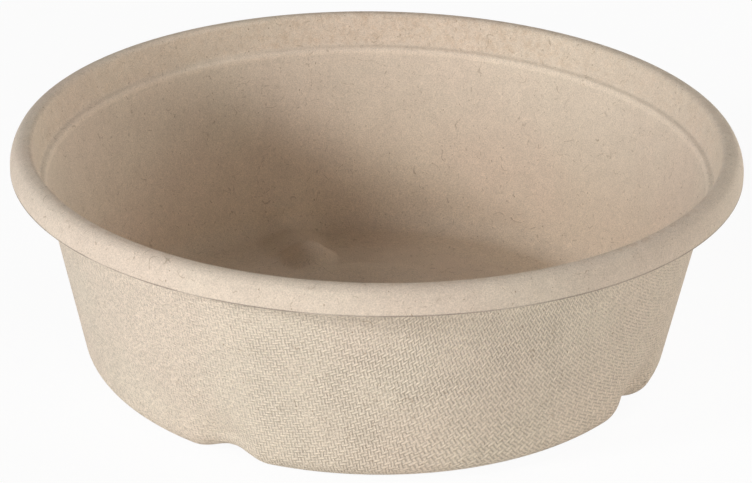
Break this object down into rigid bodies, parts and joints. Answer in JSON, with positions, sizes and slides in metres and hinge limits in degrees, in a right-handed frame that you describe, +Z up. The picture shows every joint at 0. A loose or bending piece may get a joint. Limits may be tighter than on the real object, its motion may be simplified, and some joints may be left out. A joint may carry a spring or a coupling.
{
  "type": "round moulded-fibre dish",
  "caption": "Round single-use moulded-fibre dish with a rolled rim, an inner lid ledge, a tapered wall, a standing foot and stacking lugs.",
  "frame": {"origin": "centre of the standing face, on the dish's axis", "axes": "+Z up along the dish's axis, from the foot to the mouth; -Y is the front, which has a stacking lug 28.7 degrees to its left"},
  "size_m": [0.185, 0.185, 0.0597],
  "materials": {
    "smooth_fibre": "matte",
    "screen_fibre": "matte"
  },
  "bodies": {
    "root": {"rolled_rim": "smooth_fibre", "lid_ledge": "smooth_fibre", "side_wall": "screen_fibre", "base_corner": "screen_fibre", "foot_ring": "screen_fibre", "floor_ring": "screen_fibre", "centre_panel": "screen_fibre", "stacking_lug_1": "screen_fibre", "stacking_lug_2": "screen_fibre", "stacking_lug_3": "screen_fibre"}
  },
  "joints": []
}
